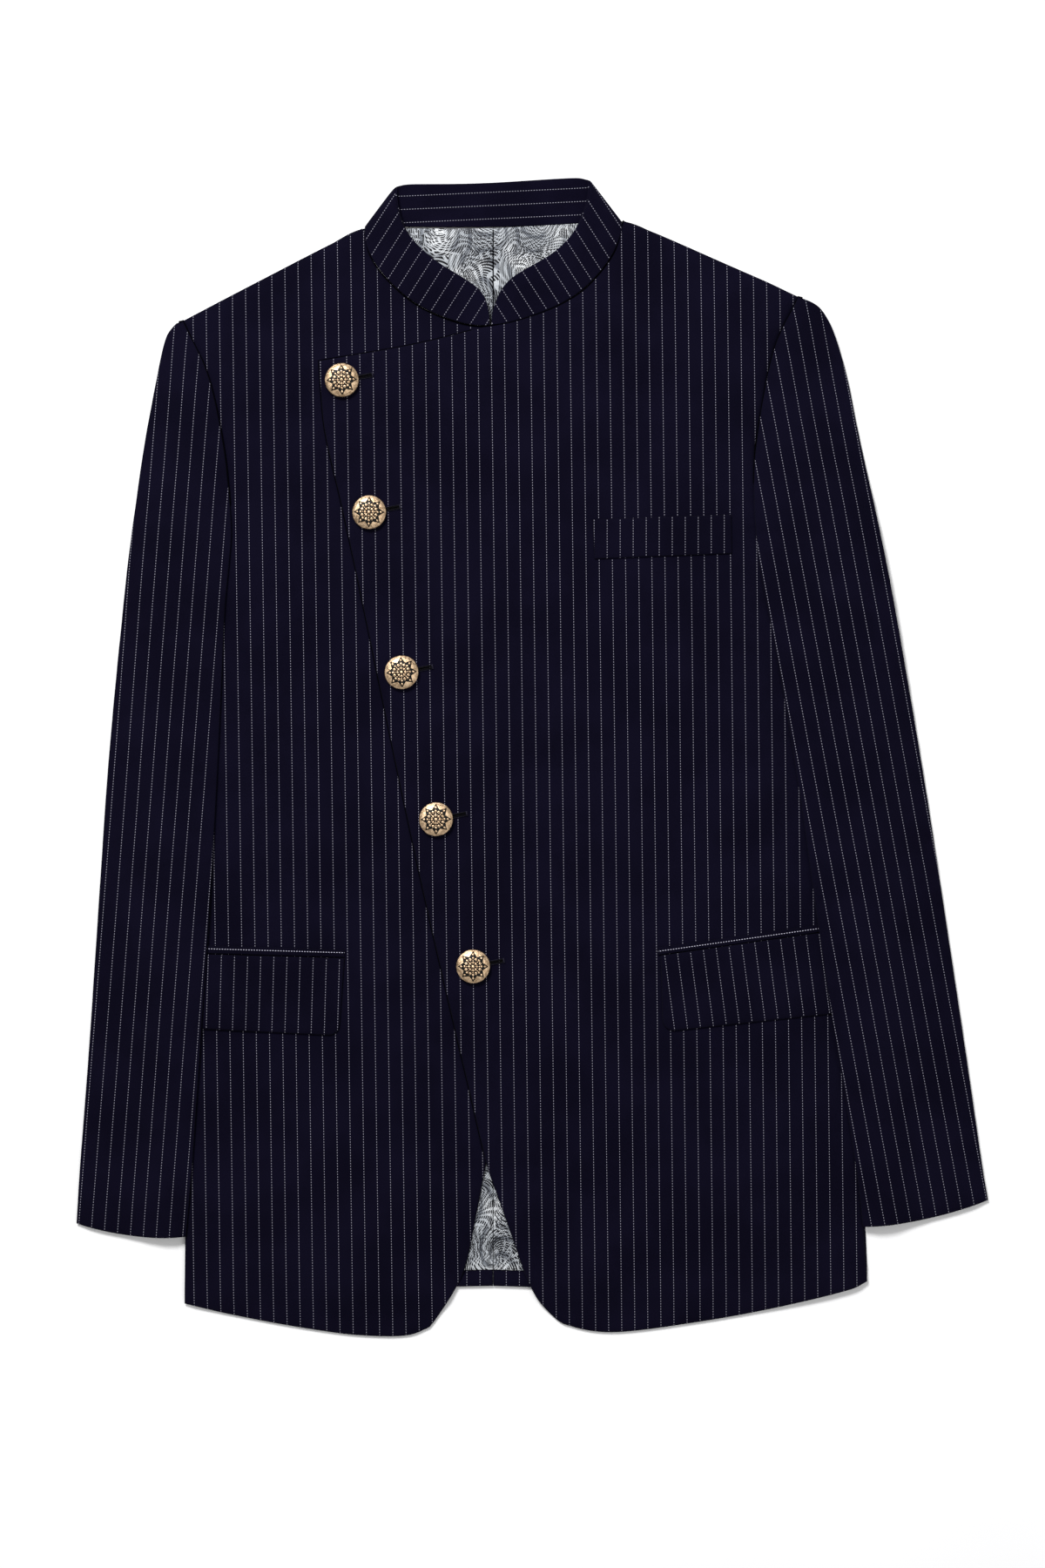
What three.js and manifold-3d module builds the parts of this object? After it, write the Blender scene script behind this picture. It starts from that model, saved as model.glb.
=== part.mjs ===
// A double-breasted Nehru jacket in pinstriped wool, with five metal buttons, laid flat on its back.
// Millimetres, +Z up. It is drafted from the pit of the neck: +X is the wearer's left, +Y points to
// the collar. Flat pieces are patches between four drafted sides. The sleeves and the collar are
// lofted through sections.
import * as THREE from "three";
import { mergeVertices } from "three/addons/utils/BufferGeometryUtils.js";
import Module from "manifold-3d";

const wasm = await Module();
wasm.setup();

// ---- driving dimensions ----
const GAP = 0.3; // between two pieces at a seam, and between two layers
const TRIM_GAP = 0.45; // between a front and a pocket piece on it
const THICK = {
  back: 1.5, lining: 1.0, front: 2.2, sleeve: 1.5, // panels
  collar: 1.3, facing: 1.2, flap: 1.8, jet: 1.2, welt: 1.6, // trims
};
const NECK_HALF = 92; // half the width of the neck seam
const NECK_RISE = 70; // from the pit of the neck up to the back neck seam
const BUTTON_RADIUS = 12.1;
const BUTTON_HEIGHT = 6.4; // of the head
const BRIM = 1.6; // the height of the head's straight side
const DOME_STEPS = 5;
const BUTTON_SIDES = 18;
const SHANK_RADIUS = 1.0;
const HOLE_LENGTH = 24.7; // of a buttonhole
const HOLE_WIDTH = 2.6;
const HOLE_BEHIND = 3; // how far a buttonhole runs past its button's shank, towards the edge
const HOLE_SLOPE = 10.5; // degrees, square to the slanting edge
const HOLE_DEEP = 20; // of the block that cuts it

// ---- heights of the layers, from the table up ----
const LINING_Z = THICK.back + GAP;
const FRONT_Z = LINING_Z + THICK.lining + GAP; // underside of a front that lies on the back lining
const OVER_Z = FRONT_Z + THICK.front + GAP; // underside of what lies on a front
const OVERLAP_MARGIN = 30; // the upper front stays level this far past the edge of the lower one
const OVERLAP_RAMP = 42; // and comes down over this length
const HEM_TURN = 10.5; // the width of the turned-up back hem that the lining leaves bare
const LINING_DROP = 8; // how far the lining stops below the shoulder seam
const LINING_NARROW = 0.035; // the share of its width that the lining stops short of the side
const SLEEVE_LIFT = THICK.sleeve + GAP + 0.9; // the upper sleeve's underside over the under sleeve's
const SLEEVE_INSET = 7; // the under sleeve stops this far inside the edges of the upper one
const INSET_MOST = 0.4; // but no more than this share of a section's width
const SLEEVE_MARGIN = 12; // the sleeve stays level this far outside the body's edge
const SLEEVE_RAMP = 34; // and comes down to the table over this length
const FLAP_RISE = 2.3; // how much higher it lies where there is a pocket flap under it
// Along Y: the rise starts, is full, is still full, and ends.
const FLAP_REACH = [-560, -520, -405, -365];

// Collar sections from the front end round the back to the other front end: the neck seam, the top
// edge, and the turn of the outer face, in degrees: 0 faces up, 180 faces down.
// Columns: seam x, seam y, seam z, top x, top y, top z, turn.
const COLLAR = [
  [-0.6, 0.8, 5.2, -0.8, 8, 5.6, 0], [-4, 0, 5.0, -1.9, 14, 6.4, 0],
  [-9, 0.2, 4.9, -4.2, 21, 7.2, 0], [-17, 0.9, 4.8, -10, 28, 7.8, 0],
  [-34, 6, 4.8, -25.5, 37.2, 8.2, 0], [-51.5, 14.3, 4.8, -40, 46, 8.4, 0],
  [-66, 25.5, 4.8, -51, 56, 8.6, 0], [-79, 39.5, 4.9, -60, 66, 8.8, 10],
  [-86.5, 53, 5.1, -66, 82, 8.8, 35], [-88.3, 66, 4.6, -67.5, 95, 7.2, 70],
  [-88, 70.8, 3.4, -67, 98.5, 4.8, 105], [-84, 71.2, 2.1, -64, 100, 2.8, 150],
  [-76, 71, 1.6, -58, 101.2, 1.6, 180], [-40, 70.6, 1.5, -30, 101, 1.5, 180],
  [1, 70.4, 1.5, 1, 101.8, 1.5, 180], [42, 72, 1.5, 33, 104, 1.5, 180],
  [78, 74.2, 1.6, 60, 105.6, 1.6, 180], [87, 75.5, 2.1, 66, 105, 2.8, 150],
  [91.6, 75, 3.4, 70, 103, 4.8, 105], [92.6, 70, 4.6, 71, 97, 7.2, 70],
  [89, 55, 5.1, 68, 84, 8.8, 35], [80.5, 41, 4.9, 61.5, 68.3, 8.8, 10],
  [67.5, 26.5, 4.8, 52, 57, 8.6, 0], [52.6, 16.4, 4.8, 41, 48, 8.4, 0],
  [35.3, 8.9, 4.8, 25, 40, 8.2, 0], [18, 3.4, 4.8, 12.8, 32.2, 7.8, 0],
  [10, 1.6, 4.9, 6.3, 23.3, 7.2, 0], [5, 0.9, 5.0, 3.2, 15, 6.4, 0],
  [0.8, 0.6, 5.2, 1.2, 8.6, 5.6, 0],
];
const COLLAR_LIFT = 1.2; // the front of the collar stands this far above the table of sections
const COLLAR_FRONT = 10; // sections at each end of the table that are sewn to a front

// ---- drafted sides: each a list of stretches, and each stretch a smooth line through a few points ----
const SHOULDER = {
  left: [[94.8, 74.8], [117, 66.3], [165, 45.3], [213, 24], [219.5, 20.5]],
  right: [[-91.4, 69.4], [-98, 66.3], [-160, 34.4], [-211, 7.8], [-219, 3.5]],
};
const NECKLINE = {
  left: [...alongCollar(COLLAR.slice(-COLLAR_FRONT).toReversed(), 1), SHOULDER.left[0]],
  right: [...alongCollar(COLLAR.slice(0, COLLAR_FRONT), -1), SHOULDER.right[0]],
};
const ARMHOLE = {
  left: [[219.5, 20.5], [206, -6], [194, -55], [188, -110], [203, -146], [262, -162]],
  right: [[-219, 3.5], [-205, -26], [-192, -78], [-186, -122], [-194, -146], [-236, -162]],
};
const SIDE = {
  left: [[262, -162], [257, -330], [263, -560], [265.5, -648], [268, -679]],
  right: [[-236, -162], [-219, -330], [-216, -560], [-217, -648], [-217.6, -695]],
};
const FRONTS = {
  left: {
    top: [[[-121.9, -25.1], [-52, -12.8], NECKLINE.left[0]], NECKLINE.left, SHOULDER.left],
    side: [ARMHOLE.left, SIDE.left],
    hem: [[
      [48.4, -707.4], [61.4, -712.4], [84.9, -715.5], [146.9, -708.3], [205, -697.5], [262, -682.6],
      [268, -679],
    ]],
    edge: [
      [[-121.9, -25.1], [-121, -54], [-99.3, -156], [-50, -391], [-2.5, -596]],
      [[-2.5, -596], [18, -654.5], [28.5, -682.6], [37.8, -697.5], [48.4, -707.4]],
    ],
    cells: { top: [7, 0, 6], side: [6, 12], hem: [23], edge: [12, 6] },
  },
  right: {
    top: [
      SHOULDER.right.toReversed(), NECKLINE.right.toReversed(), [NECKLINE.right[0], [119, -23.5]],
    ],
    side: [[
      [119, -23.5], [58, -309], [-3, -595], [-19.3, -672.7], [-28, -689.5], [-39.7, -707.4],
    ]],
    hem: [[
      [-217.6, -695], [-186, -702.5], [-133, -712.4], [-90.5, -717.8], [-57, -717.3], [-45.3, -712.4],
      [-39.7, -707.4],
    ]],
    edge: [ARMHOLE.right, SIDE.right],
    cells: { top: [4, 0, 4], side: [18], hem: [18], edge: [6, 12] },
  },
};
const BACK_HEM = -682.5; // where the back hem is at the centre-back seam
const BACK_BULGE = 3; // how much lower it is BACK_BULGE_AT away from the centre
const BACK_BULGE_AT = 120;
const BACK_SHORT = 2; // how much shorter than the front the back is at the side
const CENTRE_BACK = 2; // where the centre-back seam lies
const BACK_NECK = NECK_RISE - GAP;

// Where the lower front ends under the upper one: two lines, from the pit of the neck and to the hem.
const LOWER_CORNER = new THREE.Vector2(119, -23.5);
const LOWER_HEM = new THREE.Vector2(-3, -595);

// Sleeve sections from the shoulder to the cuff. outer is the sleeve's outside edge, inner is the
// armhole seam and then the inside edge, and body is the x of the armhole or side seam that the
// section lies across.
// Columns: outer x, outer y, inner x, inner y, body x.
const SLEEVES = {
  left: [
    [223.5, 18.6, 219.6, 20.4, 219], [233, 13.5, 215, 10.5, 214], [241.5, 1.5, 208.3, -2, 208],
    [251.7, -28, 201, -22, 200], [262, -77, 192.5, -66, 192],
    [272.8, -127, 188.2, -108, 240], [283, -177, 191.5, -165, 260], [292, -226, 203, -226, 262],
    [309, -325, 220, -328, 259], [328, -449, 237, -450, 259], [340, -529, 250, -530, 262],
    [350, -598, 261, -600, 264], [354, -621.5, 265.6, -640, 266],
  ],
  right: [
    [-223, 1.4, -219.2, 3.3, -219], [-228.8, -5.6, -215, -6, -215], [-232.2, -15, -210, -16, -210],
    [-237, -36, -202, -34, -201],
    [-246, -83, -191.5, -80, -191], [-252.3, -127, -186.6, -121, -208], [-257, -165, -185, -150, -235],
    [-261, -201, -189, -194, -232], [-271, -301, -194, -301, -222], [-279.6, -425, -201, -425, -217],
    [-286, -520, -207.6, -522, -216], [-292, -598, -213, -600, -217], [-294.5, -638, -217.3, -647, -217],
  ],
};
const SLEEVE_ROWS = 22; // sections of the loft, spaced along the table
const SLEEVE_LAP = 1; // how far the seam edge of a sleeve lies over the armhole edge of its front
const UNDER_RISE_FROM = 0.26; // shares of the sleeve's length between which the under sleeve
const UNDER_RISE_TO = 0.32; // climbs from the table on to the front
const CUFF_DIP = 4; // how far the middle of a cuff hangs below a straight line

// Pocket pieces on the fronts: the corners from the upper left clockwise, as x, y. round is the
// corner that is rounded to the radius, and cells are the steps across and down.
const POCKETS = {
  welt_chest: {
    corners: [[72.9, -137.8], [171.1, -134.2], [171.6, -161.9], [74, -165.9]],
    cells: [16, 3],
    thick: THICK.welt,
  },
  jet_left: {
    corners: [[119, -441.6], [250, -423], [250, -428.4], [119, -447]],
    cells: [6, 1],
    thick: THICK.jet,
  },
  jet_right: {
    corners: [[-207, -440], [-103.4, -443], [-103.4, -448.6], [-207, -445.6]],
    cells: [6, 1],
    thick: THICK.jet,
  },
  flap_left: {
    corners: [[121, -447.3], [250, -428.9], [254, -487.5], [122.5, -501.5]],
    round: 3,
    radius: 10,
    thick: THICK.flap,
  },
  flap_right: {
    corners: [[-207, -446.3], [-103.6, -449.2], [-107.5, -504.2], [-207, -499.3]],
    round: 2,
    radius: 9,
    thick: THICK.flap,
  },
};
const FLAP_STEPS = 8; // across a flap
const ARC_STEPS = 4; // round a flap's corner
const STRAIGHT_STEPS = 3; // down a flap, above its rounded corner
// The five buttons down the slanting edge. Columns: x, y.
const BUTTONS = [[-105.3, -39.1], [-85.9, -132.8], [-62.9, -246.3], [-38.5, -350.5], [-12.2, -454.8]];

// ---- materials ----
function look(color, roughness, metalness = 0) {
  return new THREE.MeshStandardMaterial({ color, roughness, metalness });
}
const WOOL = look(0x13111f, 0.85);
const SATIN = look(0x7a8087, 0.45);
const BRASS = look(0xb89a6c, 0.4, 0.9);

// The neck edge of a front: the collar's seam, GAP further out from the neck.
function alongCollar(rows, outward) {
  return rows.map(([x, y], i) => {
    const [before, after] = [rows[Math.max(i - 1, 0)], rows[Math.min(i + 1, rows.length - 1)]];
    const [dx, dy] = [after[0] - before[0], after[1] - before[1]];
    const length = Math.hypot(dx, dy);
    return [x + (outward * dy * GAP) / length, y - (outward * dx * GAP) / length];
  });
}

// ---- curves and patches ----
const lerp = THREE.MathUtils.lerp;
const smooth = THREE.MathUtils.smoothstep;

// A smooth line through a few points, as n + 1 points at equal steps. Without n they stay as they are.
function stretch(points, n) {
  if (!n) return points;
  const line = new THREE.CatmullRomCurve3(points.map(([x, y]) => new THREE.Vector3(x, y, 0)));
  return line.getSpacedPoints(n).map((p) => [p.x, p.y]);
}

// A side of a patch: its stretches one after the other, each with its own number of steps.
function side(stretches, counts) {
  return stretches.flatMap((points, i) => stretch(points, counts[i]).slice(i ? 1 : 0));
}

function shares(points) {
  const along = [0];
  for (let i = 1; i < points.length; i++) {
    const [[ax, ay], [bx, by]] = [points[i - 1], points[i]];
    along.push(along[i - 1] + Math.hypot(bx - ax, by - ay));
  }
  return along.map((a) => a / along.at(-1));
}

// Rows of points that fill the space between four sides: top and hem run left to right, edge and far
// side run down.
function patch({ top, hem, edge, far }) {
  const across = [shares(top), shares(hem)];
  const down = [shares(edge), shares(far)];
  return edge.map((_, j) =>
    top.map((_, i) => {
      const v = lerp(down[0][j], down[1][j], i / (top.length - 1));
      const u = lerp(across[0][i], across[1][i], v);
      return [0, 1].map((k) => {
        const corners = lerp(lerp(top[0][k], top.at(-1)[k], u), lerp(hem[0][k], hem.at(-1)[k], u), v);
        return lerp(top[i][k], hem[i][k], v) + lerp(edge[j][k], far[j][k], u) - corners;
      });
    }),
  );
}

// A closed wall between two equal grids of 3D points. With rows running down and columns to the right,
// upper is on top.
function wall(upper, lower) {
  const rows = upper.length;
  const columns = upper[0].length;
  const position = [...upper.flat(2), ...lower.flat(2)];
  const at = (j, i) => j * columns + i;
  const under = rows * columns;
  const index = [];
  const quad = (a, b, c, d) => index.push(a, b, c, a, c, d);
  for (let j = 0; j + 1 < rows; j++) {
    for (let i = 0; i + 1 < columns; i++) {
      quad(at(j, i), at(j + 1, i), at(j + 1, i + 1), at(j, i + 1));
      quad(under + at(j, i), under + at(j, i + 1), under + at(j + 1, i + 1), under + at(j + 1, i));
    }
    quad(at(j, 0), under + at(j, 0), under + at(j + 1, 0), at(j + 1, 0));
    const [above, below] = [at(j, columns - 1), at(j + 1, columns - 1)];
    quad(below, under + below, under + above, above);
  }
  for (let i = 0; i + 1 < columns; i++) {
    quad(at(0, i + 1), under + at(0, i + 1), under + at(0, i), at(0, i));
    quad(at(rows - 1, i), under + at(rows - 1, i), under + at(rows - 1, i + 1), at(rows - 1, i + 1));
  }
  return new THREE.BufferGeometry()
    .setAttribute("position", new THREE.Float32BufferAttribute(position, 3))
    .setIndex(index);
}

// Cloth of one thickness on a grid of plan points, with its underside at the height that lie gives.
function cloth(grid, lie, thick) {
  const raise = (add) => grid.map((row) => row.map(([x, y]) => [x, y, lie(x, y) + add]));
  return wall(raise(thick), raise(0));
}

// ---- heights ----
// How far a plan point is outside the lower front, whose hidden edge is two straight lines.
function outsideLowerFront(x, y) {
  const p = new THREE.Vector2(x, y);
  const above = LOWER_CORNER.clone().normalize().cross(p);
  const down = LOWER_HEM.clone().sub(LOWER_CORNER).normalize();
  return Math.max(above, down.cross(p.sub(LOWER_CORNER)));
}

function upperFrontLie(x, y) {
  const drop = smooth(outsideLowerFront(x, y), OVERLAP_MARGIN, OVERLAP_MARGIN + OVERLAP_RAMP);
  return lerp(OVER_Z, FRONT_Z, drop);
}

const lowerFrontLie = () => FRONT_Z;

// ---- body panels ----
function frontGrid({ top, side: far, hem, edge, cells }) {
  return patch({
    top: side(top, cells.top),
    hem: side(hem, cells.hem),
    edge: side(edge, cells.edge),
    far: side(far, cells.side),
  });
}

// One half of the back: the neck and shoulder, the side, the hem and the centre-back seam. The
// shoulder is lowered by drop beyond the neck, and the hem is raised by hemRise.
function backGrid(which, drop, hemRise) {
  const outward = which === "left" ? 1 : -1;
  const centre = CENTRE_BACK + (outward * GAP) / 2;
  const shoulder = SHOULDER[which].map(([x, y], i) => [x, i ? y - drop : y]);
  const neck = [[centre, BACK_NECK], shoulder[0]];
  const armhole = [shoulder.at(-1), ...ARMHOLE[which].slice(1)];
  const [sideX, sideY] = SIDE[which].at(-1);
  const hem = [
    [centre, BACK_HEM + hemRise],
    [outward * BACK_BULGE_AT, BACK_HEM - BACK_BULGE + hemRise],
    [sideX, sideY + BACK_SHORT + hemRise],
  ];
  const topSide = side([neck, shoulder], [3, 5]);
  const hemSide = side([hem], [8]);
  const outer = side([armhole, [...SIDE[which].slice(0, -1), hem.at(-1)]], [5, 7]);
  const inner = side([[neck[0], hem[0]]], [12]);
  if (outward > 0) return patch({ top: topSide, hem: hemSide, edge: inner, far: outer });
  return patch({ top: topSide.toReversed(), hem: hemSide.toReversed(), edge: outer, far: inner });
}

// The back shell lies on the table, and its hem is turned up inside, twice as thick.
function backPanel(which) {
  const grid = backGrid(which, 0, 0);
  const hem = grid.at(-1);
  const above = (rise) => hem.map(([x, y]) => [x, y + rise]);
  const single = [...grid.slice(0, -2), above(HEM_TURN + GAP)];
  const rows = [...single, above(HEM_TURN), hem];
  const turned = LINING_Z + THICK.lining;
  const heights = [...single.map(() => THICK.back), turned, turned];
  const upper = rows.map((row, j) => row.map(([x, y]) => [x, y, heights[j]]));
  const lower = rows.map((row) => row.map(([x, y]) => [x, y, 0]));
  return wall(upper, lower);
}

// The lining is cut a little narrower than the shell, so it keeps clear of the side seams.
function liningPanel(which) {
  const grid = backGrid(which, LINING_DROP, HEM_TURN + 4 * GAP);
  const narrow = grid.map((row) => row.map(([x, y]) => [lerp(x, CENTRE_BACK, LINING_NARROW), y]));
  return cloth(narrow, () => LINING_Z, THICK.lining);
}

// ---- closed meshes as solids, to cut the buttonholes ----
function solid(geometry) {
  const bare = geometry.clone();
  bare.deleteAttribute("normal");
  bare.deleteAttribute("uv");
  const merged = mergeVertices(bare, 1e-3);
  const vertProperties = merged.attributes.position.array;
  const triVerts = new Uint32Array(merged.index.array);
  return new wasm.Manifold(new wasm.Mesh({ numProp: 3, vertProperties, triVerts }));
}

function geometryOf(made) {
  const { vertProperties, triVerts } = made.getMesh();
  return new THREE.BufferGeometry()
    .setAttribute("position", new THREE.BufferAttribute(vertProperties, 3))
    .setIndex(new THREE.BufferAttribute(triVerts, 1));
}

function buttonhole([x, y]) {
  const slot = new THREE.BoxGeometry(HOLE_LENGTH, HOLE_WIDTH, HOLE_DEEP);
  slot.translate(HOLE_LENGTH / 2 - HOLE_BEHIND, 0, 0);
  return slot.rotateZ(THREE.MathUtils.degToRad(HOLE_SLOPE)).translate(x, y, OVER_Z);
}

function upperFront() {
  const whole = solid(cloth(frontGrid(FRONTS.left), upperFrontLie, THICK.front));
  return geometryOf(BUTTONS.reduce((panel, place) => panel.subtract(solid(buttonhole(place))), whole));
}

// ---- sleeves ----
// The sleeve's edges as smooth lines, at SLEEVE_ROWS + 1 sections.
function sleeveSections(which) {
  const table = SLEEVES[which];
  const column = (a, b) => {
    const line = new THREE.CatmullRomCurve3(table.map((row) => new THREE.Vector3(row[a], row[b], 0)));
    return Array.from({ length: SLEEVE_ROWS + 1 }, (_, j) => line.getPoint(j / SLEEVE_ROWS));
  };
  const [outer, inner, body] = [column(0, 1), column(2, 3), column(4, 1)];
  inner.forEach((p) => (p.x -= Math.sign(p.x) * SLEEVE_LAP));
  return outer.map((p, j) => ({ outer: p, inner: inner[j], body: body[j].x, share: j / SLEEVE_ROWS }));
}

// The plan point of a section at a share of its width, from the outside edge.
function across({ outer, inner, share }, u) {
  const dip = CUFF_DIP * smooth(share, 0.8, 1) * 4 * u * (1 - u);
  return [lerp(outer.x, inner.x, u), lerp(outer.y, inner.y, u) - dip];
}

// The height of what a sleeve lies on: the front and its flap near the body, and the table away from it.
function sleeveLie(section, x, y) {
  const outside = Math.abs(x) - Math.abs(section.body);
  const [start, full, still, end] = FLAP_REACH;
  const onFlap = smooth(y, start, full) * (1 - smooth(y, still, end));
  const onBody = 1 - smooth(outside, SLEEVE_MARGIN, SLEEVE_MARGIN + SLEEVE_RAMP);
  return (OVER_Z + FLAP_RISE * onFlap) * onBody;
}

// Shares of a section's width for the columns of a sleeve piece, from inset on each side.
function columns(section, inset, n) {
  const width = section.outer.distanceTo(section.inner);
  const from = Math.min(inset / width, INSET_MOST);
  return Array.from({ length: n + 1 }, (_, i) => lerp(from, 1 - from, i / n));
}

function sleeveTop(which) {
  const rows = sleeveSections(which).map((section) => {
    const inside = columns(section, SLEEVE_INSET, 6);
    return [0, ...inside, 1].map((u, i, all) => {
      const [x, y] = across(section, u);
      const lift = i === 0 || i === all.length - 1 ? 0 : SLEEVE_LIFT;
      return [x, y, sleeveLie(section, x, y) + lift];
    });
  });
  return sleeveWall(which, rows);
}

// The under sleeve starts below the sleeve head, beside the back armhole, and climbs on to the front
// past the armpit.
function sleeveUnder(which) {
  const rows = sleeveSections(which).slice(2).map((section) => {
    const climb = smooth(section.share, UNDER_RISE_FROM, UNDER_RISE_TO);
    return columns(section, SLEEVE_INSET + 1, 5).map((u) => {
      const [x, y] = across(section, u);
      return [x, y, sleeveLie(section, x, y) * climb];
    });
  });
  return sleeveWall(which, rows);
}

function sleeveWall(which, lower) {
  const rows = which === "left" ? lower.map((row) => row.toReversed()) : lower;
  const upper = rows.map((row) => row.map(([x, y, z]) => [x, y, z + THICK.sleeve]));
  return wall(upper, rows);
}

// ---- collar: a band of two layers round the neck. Its outer face is up in front and down behind. ----
function collarLayer(inside, outside) {
  const steps = 3;
  const face = (offset) =>
    Array.from({ length: steps + 1 }, (_, k) => k / steps).map((share) =>
      COLLAR.map(([sx, sy, sz, tx, ty, tz, turn]) => {
        const angle = THREE.MathUtils.degToRad(turn);
        const stand = COLLAR_LIFT * (1 - turn / 180);
        const out = Math.sign(sx) * Math.sin(angle);
        const z = lerp(sz, tz, share) + stand + Math.cos(angle) * offset;
        return [lerp(sx, tx, share) + out * offset, lerp(sy, ty, share), z];
      }),
    );
  return wall(face(outside), face(inside));
}

// ---- pockets ----
function arcCorner(before, corner, after, radius, n) {
  const towards = (p) => new THREE.Vector2(...p).sub(new THREE.Vector2(...corner)).setLength(radius);
  const start = new THREE.Vector2(...corner).add(towards(before));
  const end = new THREE.Vector2(...corner).add(towards(after));
  const curve = new THREE.QuadraticBezierCurve(start, new THREE.Vector2(...corner), end);
  return curve.getPoints(n).map((p) => [p.x, p.y]);
}

// The height at which a piece lies on a front: TRIM_GAP above the cloth that is right under it.
function lieOn(front) {
  const mesh = new THREE.Mesh(front, WOOL);
  const down = new THREE.Vector3(0, 0, -1);
  const hit = (x, y) => new THREE.Raycaster(new THREE.Vector3(x, y, 100), down).intersectObject(mesh)[0];
  return (x, y) => hit(x, y).point.z + TRIM_GAP;
}

const straight = (p, q, n) => stretch([p, q], n);

// A flat trim piece with four square corners, on a front.
function bandPiece({ corners: [a, b, c, d], cells: [wide, deep], thick }, lie) {
  const sides = {
    top: straight(a, b, wide),
    hem: straight(d, c, wide),
    edge: straight(a, d, deep),
    far: straight(b, c, deep),
  };
  return cloth(patch(sides), lie, thick);
}

// A pocket flap on a front. The hem takes one half of the rounded corner and the side the other.
function flapPiece({ corners: [a, b, c, d], round, radius, thick }, lie) {
  const onLeft = round === 3;
  const arc = onLeft ? arcCorner(a, d, c, radius, ARC_STEPS) : arcCorner(d, c, b, radius, ARC_STEPS);
  const first = arc.slice(0, ARC_STEPS / 2 + 1);
  const last = arc.slice(ARC_STEPS / 2);
  const across = FLAP_STEPS - ARC_STEPS / 2;
  const top = straight(a, b, FLAP_STEPS);
  if (onLeft) {
    const hem = [...last, ...straight(last.at(-1), c, across).slice(1)];
    const edge = [...straight(a, first[0], STRAIGHT_STEPS), ...first.slice(1)];
    const far = straight(b, c, edge.length - 1);
    return cloth(patch({ top, hem, edge, far }), lie, thick);
  }
  const hem = [...straight(d, first[0], across), ...first.slice(1)];
  const far = [...straight(b, last.at(-1), STRAIGHT_STEPS), ...last.toReversed().slice(1)];
  const edge = straight(a, d, far.length - 1);
  return cloth(patch({ top, hem, edge, far }), lie, thick);
}

// ---- buttons: a domed head over a thin shank that stands in its buttonhole ----
function button([x, y]) {
  const headFoot = OVER_Z + THICK.front + GAP;
  const dome = Array.from({ length: DOME_STEPS + 1 }, (_, i) => {
    const angle = (i / DOME_STEPS) * (Math.PI / 2);
    const rise = (BUTTON_HEIGHT - BRIM) * Math.sin(angle);
    return [BUTTON_RADIUS * Math.cos(angle), headFoot + BRIM + rise];
  });
  dome.at(-1)[0] = 0;
  const profile = [
    [0, OVER_Z],
    [SHANK_RADIUS, OVER_Z],
    [SHANK_RADIUS, headFoot],
    [BUTTON_RADIUS - 1, headFoot],
    ...dome,
  ].map(([r, z]) => new THREE.Vector2(r, z));
  return new THREE.LatheGeometry(profile, BUTTON_SIDES).rotateX(Math.PI / 2).translate(x, y, 0);
}

// ---- the jacket ----
const jacket = new THREE.Group();

function add(name, geometry, material) {
  const mesh = new THREE.Mesh(geometry, material);
  mesh.name = name;
  jacket.add(mesh);
}

for (const which of ["left", "right"]) {
  add(`back_${which}`, backPanel(which), WOOL);
  add(`lining_${which}`, liningPanel(which), SATIN);
  add(`sleeve_top_${which}`, sleeveTop(which), WOOL);
  add(`sleeve_under_${which}`, sleeveUnder(which), WOOL);
}
const onLeft = upperFront();
const onRight = cloth(frontGrid(FRONTS.right), lowerFrontLie, THICK.front);
add("front_left", onLeft, WOOL);
add("front_right", onRight, WOOL);
add("collar", collarLayer(GAP / 2, GAP / 2 + THICK.collar), WOOL);
add("collar_facing", collarLayer(-GAP / 2 - THICK.facing, -GAP / 2), WOOL);
for (const [name, piece] of Object.entries(POCKETS)) {
  const lie = lieOn(piece.corners[0][0] > 0 ? onLeft : onRight);
  add(name, piece.round ? flapPiece(piece, lie) : bandPiece(piece, lie), WOOL);
}
BUTTONS.forEach((place, i) => add(`button_${i + 1}`, button(place), BRASS));

// The part's origin is the middle of its box, on the table.
const box = new THREE.Box3().setFromObject(jacket);
const middle = box.getCenter(new THREE.Vector3());
jacket.position.set(-middle.x, -middle.y, -box.min.z);

export default jacket;
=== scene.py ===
"""The looks of the pinstriped Nehru jacket: cloth shells on the CAD panels, silk, satin and cast buttons."""
import math

import bpy
import bmesh
import numpy as np
from mathutils import Matrix, Vector
from mathutils.bvhtree import BVHTree
from mathutils.geometry import delaunay_2d_cdt


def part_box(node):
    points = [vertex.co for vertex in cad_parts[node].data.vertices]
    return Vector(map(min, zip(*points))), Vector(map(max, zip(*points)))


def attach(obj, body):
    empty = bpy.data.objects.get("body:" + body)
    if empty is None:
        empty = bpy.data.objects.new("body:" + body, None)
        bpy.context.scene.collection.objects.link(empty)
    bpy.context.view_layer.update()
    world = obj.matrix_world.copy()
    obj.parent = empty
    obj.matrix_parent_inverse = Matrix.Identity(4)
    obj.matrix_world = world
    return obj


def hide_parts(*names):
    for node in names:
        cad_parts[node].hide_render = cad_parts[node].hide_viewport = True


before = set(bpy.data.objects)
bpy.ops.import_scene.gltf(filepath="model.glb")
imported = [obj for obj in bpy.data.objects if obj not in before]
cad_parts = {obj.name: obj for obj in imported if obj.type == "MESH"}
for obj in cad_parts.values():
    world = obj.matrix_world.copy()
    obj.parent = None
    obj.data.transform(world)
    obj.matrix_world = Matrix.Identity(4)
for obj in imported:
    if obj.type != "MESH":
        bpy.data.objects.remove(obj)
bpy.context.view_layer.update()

MM = 0.001

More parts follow.
